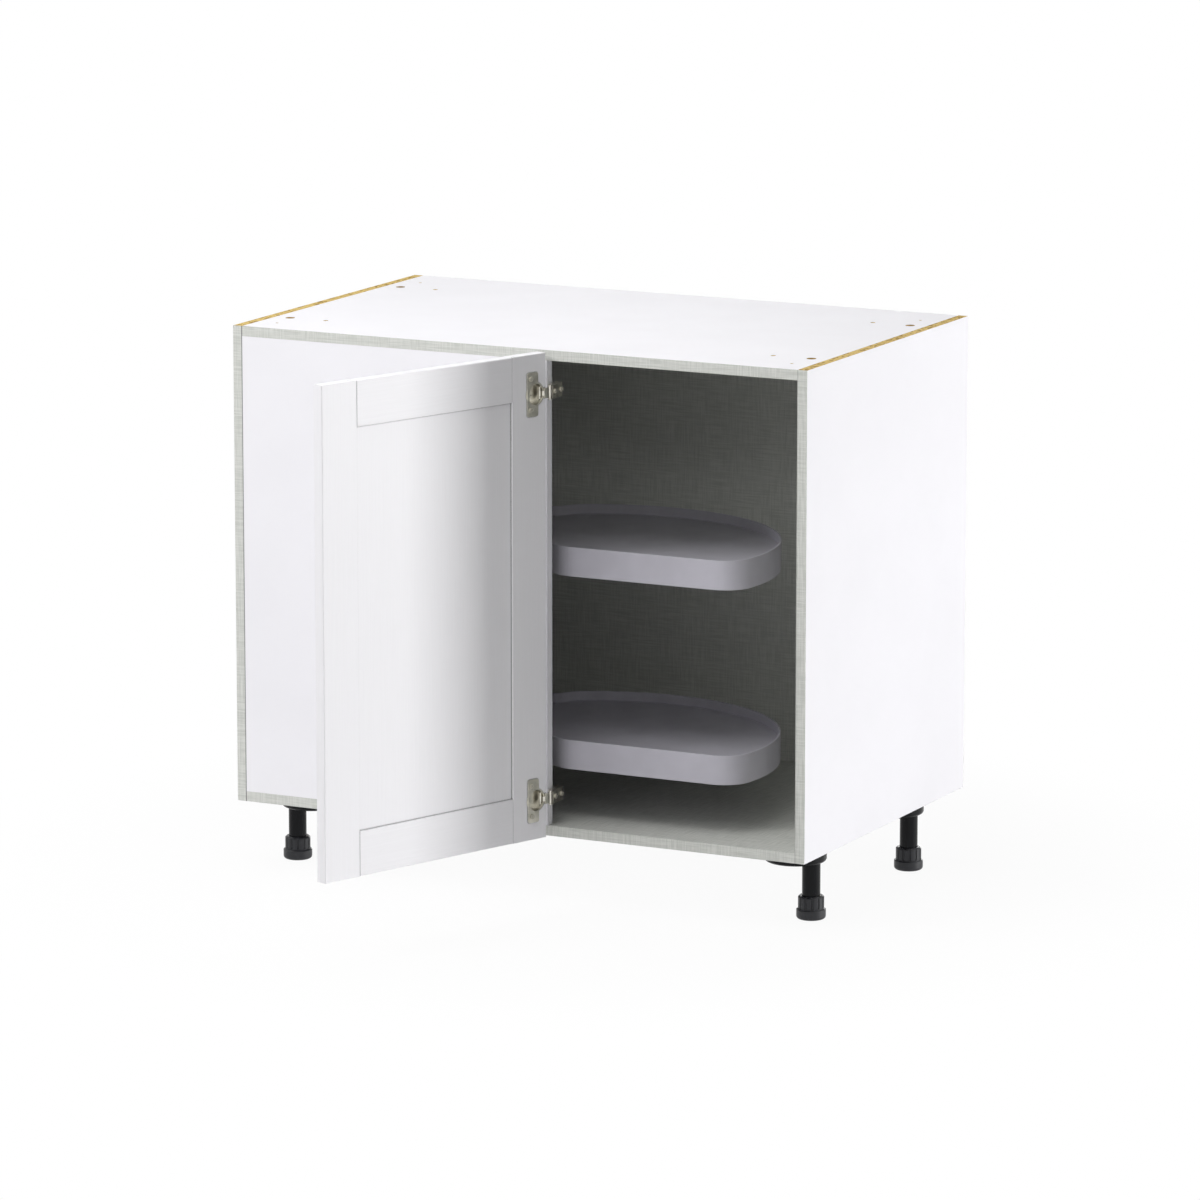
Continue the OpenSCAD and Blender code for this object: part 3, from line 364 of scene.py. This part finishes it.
def linen(look, faces_x, faces_z):
    """Printed linen: long weft and warp threads that come and go in patches, with a fine weave."""
    x, y, z = look.axes(look.object_place)
    across = look.blend(faces_x, x, y)
    along = look.blend(faces_z, z, y)

    def woven(scale_across, scale_along, detail):
        place_across = look.maths("MULTIPLY", across, scale_across)
        place_along = look.maths("MULTIPLY", along, scale_along)
        return look.noise(look.point(place_across, place_along), 1.0, detail)

    weft = woven(LINEN_RUNS, LINEN_THREADS, detail=3.0)
    warp = woven(LINEN_THREADS, LINEN_RUNS, detail=3.0)
    slubs = woven(LINEN_PATCHES, LINEN_PATCHES, detail=2.0)
    threads = look.blend(look.smooth(slubs, 0.35, 0.65), weft, warp)
    weave = look.maths("MULTIPLY", look.maths("ADD", look.maths("ADD", weft, warp), threads), 1 / 3)
    colour = look.tint(look.smooth(weave, 0.36, 0.64), LINEN_DARK, LINEN_LIGHT)
    roughness = look.blend(weave, 0.62, 0.50)
    return colour, roughness, weave


def chipboard(look):
    """Raw sawn chipboard: pale and golden flakes, some dark, with open pores."""
    drawn_out = look.stretch(look.object_place, CHIP_STRETCH)
    flake, middle = look.cells(drawn_out, CHIP_FLAKES)
    splinter, _ = look.cells(drawn_out, CHIP_SPLINTERS)
    gold = look.tint(flake, CHIP_GOLD, CHIP_PALE)
    dark = look.smooth(splinter, 0.76, 0.84)
    colour = look.tint(look.maths("MULTIPLY", dark, 0.8), gold, CHIP_DARK)
    roughness = 0.85
    height = look.maths("SUBTRACT", flake, middle)
    return colour, roughness, height


def board(name, white, linen_side):
    """A board with one white side and one linen side, whose other sides and bores are raw."""
    look = Finish(name, BOARD_SHINE)
    normal, faces_x, faces_z = look.faces()
    colour, roughness, height = chipboard(look)
    for side, coat in ((white, melamine(look)), (linen_side, linen(look, faces_x, faces_z))):
        axis, sign = FACE_AXIS[side]
        share = look.maths("GREATER_THAN", look.maths("MULTIPLY", normal[axis], sign), FACES_SQUARELY)
        colour = look.tint(share, colour, coat[0])
        roughness = look.blend(share, roughness, coat[1])
        height = look.blend(share, height, coat[2])
    rounded, colour = look.worn_edge(BOARD_EDGE, colour, BOARD_WEAR, SEAM_GREY)
    return look.finish(colour, roughness, height, BOARD_RELIEF, rounded)


def white_band():
    """Plain white edge band with a fine peel."""
    look = Finish("white_band", BOARD_SHINE)
    colour, roughness, height = melamine(look)
    rounded, colour = look.worn_edge(BAND_EDGE, colour, BAND_WEAR, SEAM_GREY)
    return look.finish(colour, roughness, height, BOARD_RELIEF, rounded)


def linen_band():
    """Edge band with the linen of the boards' inner faces, and a painted shade line in the joint gap beside
    each side panel, darker on the left.
    """
    look = Finish("linen_band", BOARD_SHINE)
    _, faces_x, faces_z = look.faces()
    colour, roughness, height = linen(look, faces_x, faces_z)
    rounded, colour = look.worn_edge(BAND_EDGE, colour, BAND_WEAR, SEAM_GREY)
    # Painted shade: a grey line in the joint gap beside each side panel, darker on the left band than on
    # the right
    x, _, _ = look.axes(look.object_place)
    from_joint = look.maths("ABSOLUTE", look.maths("SUBTRACT", look.maths("ABSOLUTE", x), JOINT_SHADE_X))
    darkness = look.blend(look.maths("GREATER_THAN", x, 0.0), LEFT_JOINT_SHADE, RIGHT_JOINT_SHADE)
    joint = look.maths("MULTIPLY", look.smooth(from_joint, *JOINT_SHADE_FADE), darkness)
    return look.finish(look.tint(joint, colour, PAINTED_SHADE_GREY), roughness, height, BOARD_RELIEF, rounded)


def door_foil(name, grain):
    """Satin white foil on a door piece, brushed along its grain, with painted shade greying its seams."""
    look = Finish(name, shine=0.5)
    brushed = look.noise(look.stretch(look.object_place, grain), 1.0, detail=3.0, roughness=0.6)
    peel = look.noise(look.object_place, FOIL_PEEL)
    colour = look.tint(look.smooth(brushed, *SOFT_TONES), scaled(DOOR_WHITE, 0.97), DOOR_WHITE)
    rounded, colour = look.worn_edge(DOOR_EDGE, colour, DOOR_WEAR, SEAM_GREY)
    # Painted shade: grooves and inner corners on the door, narrower than the groove width, are greyed
    colour = look.tint(look.maths("MULTIPLY", look.groove_shade_mask(DOOR_SHADED_GROOVE), 0.8), colour, PAINTED_SHADE_GREY)
    roughness = look.blend(brushed, 0.40, 0.50)
    height = look.maths("ADD", look.maths("MULTIPLY", brushed, 0.6), look.maths("MULTIPLY", peel, 0.4))
    return look.finish(colour, roughness, height, FOIL_RELIEF, rounded)


def metal(name, colour, grain, roughness, pitted=0.0, metallic=1.0, shine=0.5):
    """Plated or bare metal, stained in clouds, brushed along the grain or pitted, brighter on its edges."""
    look = Finish(name, shine, metallic)
    brushed = look.noise(look.stretch(look.object_place, grain), 1.0, detail=3.0, roughness=0.6)
    stain = look.noise(look.object_place, METAL_STAINS, detail=3.0)
    pits = look.noise(look.object_place, METAL_PITS)
    surface = look.tint(look.smooth(stain, 0.30, 0.72), scaled(colour, 0.72), colour)
    rounded, surface = look.worn_edge(METAL_EDGE, surface, METAL_WEAR, scaled(colour, 1.15))
    height = look.blend(pitted, brushed, pits)
    return look.finish(surface, look.blend(brushed, *roughness), height, METAL_RELIEF, rounded)


def plastic(name, colour, roughness, grain, relief, edge, shine=0.5, worn=0.25):
    """Moulded plastic with a fine spark-eroded grain, cloudy roughness and paler rubbed edges."""
    look = Finish(name, shine)
    cloudy = look.noise(look.object_place, PLASTIC_CLOUDS, detail=3.0)
    eroded = look.noise(look.object_place, grain, detail=3.0, roughness=0.7)
    surface = look.tint(look.smooth(cloudy, *SOFT_TONES), scaled(colour, 0.92), colour)
    rounded, surface = look.worn_edge(edge, surface, worn, scaled(colour, 1.25, lift=0.01))
    return look.finish(surface, look.blend(cloudy, *roughness), eroded, relief, rounded)


def beech():
    """Turned beech with straight grain and short dark rays."""
    look = Finish("beech", shine=0.3)
    grain = look.noise(look.stretch(look.object_place, BEECH_GRAIN), 1.0, detail=3.0)
    rays = look.smooth(look.noise(look.stretch(look.object_place, BEECH_RAYS), 1.0), 0.62, 0.72)
    colour = look.tint(look.smooth(grain, *SOFT_TONES), BEECH_DARK, BEECH_LIGHT)
    colour = look.tint(look.maths("MULTIPLY", rays, 0.5), colour, BEECH_DARK)
    rounded, _ = look.edge(DOWEL_EDGE)
    return look.finish(colour, look.blend(grain, 0.55, 0.72), grain, WOOD_RELIEF, rounded)


def dress(material, *nodes):
    """Gives the CAD nodes this material in every slot."""
    for name in nodes:
        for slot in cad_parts[name].material_slots:
            slot.material = material


def dress_cabinet():
    """Boards with their bands, and what joins them."""
    dress(board("left_board", "-x", "+x"), "left_side_panel")
    dress(board("right_board", "+x", "-x"), "right_side_panel")
    dress(board("top_board", "+z", "-z"), "top_panel")
    dress(board("bottom_board", "-z", "+z"), "bottom_panel")
    dress(board("back_board", "+y", "-y"), "back_panel")
    dress(board("blind_board", "-y", "+y"), "blind_panel")
    dress(linen_band(), "side_edge_bands", "cross_edge_bands")
    dress(white_band(), "blind_edge_band")
    zinc_cam = metal("zinc_cam", ZINC_YELLOW, EVEN_GRAIN, roughness=(0.6, 0.8), pitted=1.0, metallic=0.0,
                     shine=0.0)
    dress(zinc_cam, "cam_locks", "cam_bolts")
    dress(beech(), "joint_dowels")


def dress_door():
    """The door's pieces and its two hinges."""
    upright_foil = door_foil("door_upright_foil", UPRIGHT_GRAIN)
    dress(upright_foil, "door_hinge_stile", "door_free_stile", "door_centre_panel")
    dress(door_foil("door_rail_foil", LEVEL_GRAIN), "door_top_rail", "door_bottom_rail")
    nickel = metal("nickel_plate", NICKEL, HINGE_GRAIN, roughness=(0.22, 0.38), pitted=0.3)
    dress(nickel, "hinge_cups", "hinge_links", "hinge_arms", "hinge_wing_plates", "hinge_cup_pins",
          "hinge_arm_pins")
    dull_nickel = metal("dull_nickel", NICKEL_DULL, EVEN_GRAIN, roughness=(0.55, 0.70), pitted=0.6)
    dress(dull_nickel, "hinge_cup_screws", "hinge_plate_screws")


def dress_trays():
    """The post and, on it, each tray with its swing mechanism."""
    steel = metal("post_steel", STEEL, POST_GRAIN, roughness=(0.28, 0.42))
    dress(steel, "tray_post", "post_floor_flange", "post_ceiling_flange")
    tray = plastic("tray_grey", TRAY_GREY, roughness=(0.50, 0.62), grain=TRAY_MOULD, relief=TRAY_RELIEF,
                   edge=TRAY_EDGE, shine=0.3)
    washer = plastic("washer_plastic", WASHER_WHITE, roughness=(0.40, 0.50), grain=WASHER_MOULD,
                     relief=WASHER_RELIEF, edge=WASHER_EDGE)
    for level in ("upper", "lower"):
        dress(steel, f"{level}_support_collar", f"{level}_swivel_arm", f"{level}_pivot_plate",
              f"{level}_pivot_shaft", f"{level}_lock_nut")
        dress(washer, f"{level}_thrust_washer")
        dress(tray, f"{level}_tray")


def dress_legs():
    """The levelling legs, with feet that are greyer and duller than their tubes."""
    leg = plastic("leg_black", LEG_BLACK, roughness=(0.18, 0.30), grain=LEG_MOULD, relief=LEG_RELIEF,
                  edge=LEG_EDGE, shine=0.16, worn=0.5)
    dress(leg, "leg_sockets", "leg_tubes")
    foot = plastic("foot_black", FOOT_BLACK, roughness=(0.34, 0.48), grain=FOOT_MOULD, relief=FOOT_RELIEF,
                   edge=LEG_EDGE, shine=0.4, worn=0.6)
    dress(foot, "foot_front_left", "foot_front_right", "foot_back_left", "foot_back_right")


def dress_screws():
    """The zinc-plated screws inside and under the cabinet."""
    screw = metal("zinc_screw", ZINC, EVEN_GRAIN, roughness=(0.25, 0.40), pitted=0.5)
    dress(screw, "post_flange_screws", "collar_set_screws", "upper_plate_screws", "lower_plate_screws",
          "leg_socket_screws")


def make_floor():
    """A plain white floor that keeps a faint shadow of the object."""
    corners = [(-FLOOR_HALF, -FLOOR_HALF, 0), (FLOOR_HALF, -FLOOR_HALF, 0),
               (FLOOR_HALF, FLOOR_HALF, 0), (-FLOOR_HALF, FLOOR_HALF, 0)]
    mesh = bpy.data.meshes.new("floor")
    mesh.from_pydata(corners, [], [(0, 1, 2, 3)])
    floor = bpy.data.objects.new("floor", mesh)
    bpy.context.scene.collection.objects.link(floor)
    material = bpy.data.materials.new("floor")
    nodes = Nodes(material)
    away = nodes.new("VectorMath")
    away.operation = "LENGTH"
    nodes.feed(away.inputs[0], nodes.new("TexCoord").outputs["Object"])
    faded = nodes.smooth(away.outputs["Value"], *FLOOR_SHADOW_REACH)
    shadow_share = nodes.blend(faded, FLOOR_SHADOW_SHARE, 0.0)
    white = nodes.new("Emission").outputs[0]
    shown = nodes.mixed(shadow_share, white, nodes.matt(FLOOR_SHOWN_GREY))
    surface = nodes.mixed(nodes.seen_directly(), nodes.matt(FLOOR_GREY), shown)
    nodes.feed(nodes.new("OutputMaterial").inputs["Surface"], surface)
    mesh.materials.append(material)


def make_world():
    """White where it is seen; a soft ambient light that is stronger low down in front of the object."""
    world = bpy.data.worlds.new("studio")
    bpy.context.scene.world = world
    nodes = Nodes(world)
    _, y, z = nodes.axes(nodes.new("TexCoord").outputs["Generated"])
    forward = nodes.smooth(y, *FRONT_AMBIENT_Y)
    low = nodes.smooth(z, *FRONT_AMBIENT_Z)
    ambient = nodes.background(nodes.blend(nodes.maths("MULTIPLY", forward, low), AMBIENT, FRONT_AMBIENT))
    surface = nodes.mixed(nodes.seen_directly(), ambient, nodes.background(1.0))
    nodes.feed(nodes.new("OutputWorld").inputs["Surface"], surface)


def make_softbox(name, place, aim, size, watts):
    """A rectangular lamp at a place, turned toward its aim."""
    lamp = bpy.data.lights.new(name, "AREA")
    lamp.shape = "RECTANGLE"
    lamp.size, lamp.size_y = size
    lamp.energy = watts
    box = bpy.data.objects.new(name, lamp)
    bpy.context.scene.collection.objects.link(box)
    box.location = place
    box.rotation_euler = (Vector(aim) - Vector(place)).to_track_quat("-Z", "Y").to_euler()


def make_camera():
    """The photograph's camera, pitched down to keep its shift at 0."""
    camera = bpy.data.cameras.new("camera")
    camera.lens = CAMERA_LENS
    camera.sensor_width = CAMERA_SENSOR
    camera.clip_end = CAMERA_REACH
    holder = bpy.data.objects.new("camera", camera)
    bpy.context.scene.collection.objects.link(holder)
    holder.location = CAMERA_PLACE
    holder.rotation_euler = (math.radians(90 - CAMERA_PITCH_DOWN), 0.0, math.radians(CAMERA_YAW))
    bpy.context.scene.camera = holder


make_camera()
bpy.context.scene.view_settings.view_transform = "Standard"
make_world()
make_floor()
for softbox_name, softbox in SOFTBOXES.items():
    make_softbox(softbox_name, **softbox)
dress_cabinet()
dress_door()
dress_trays()
dress_legs()
dress_screws()
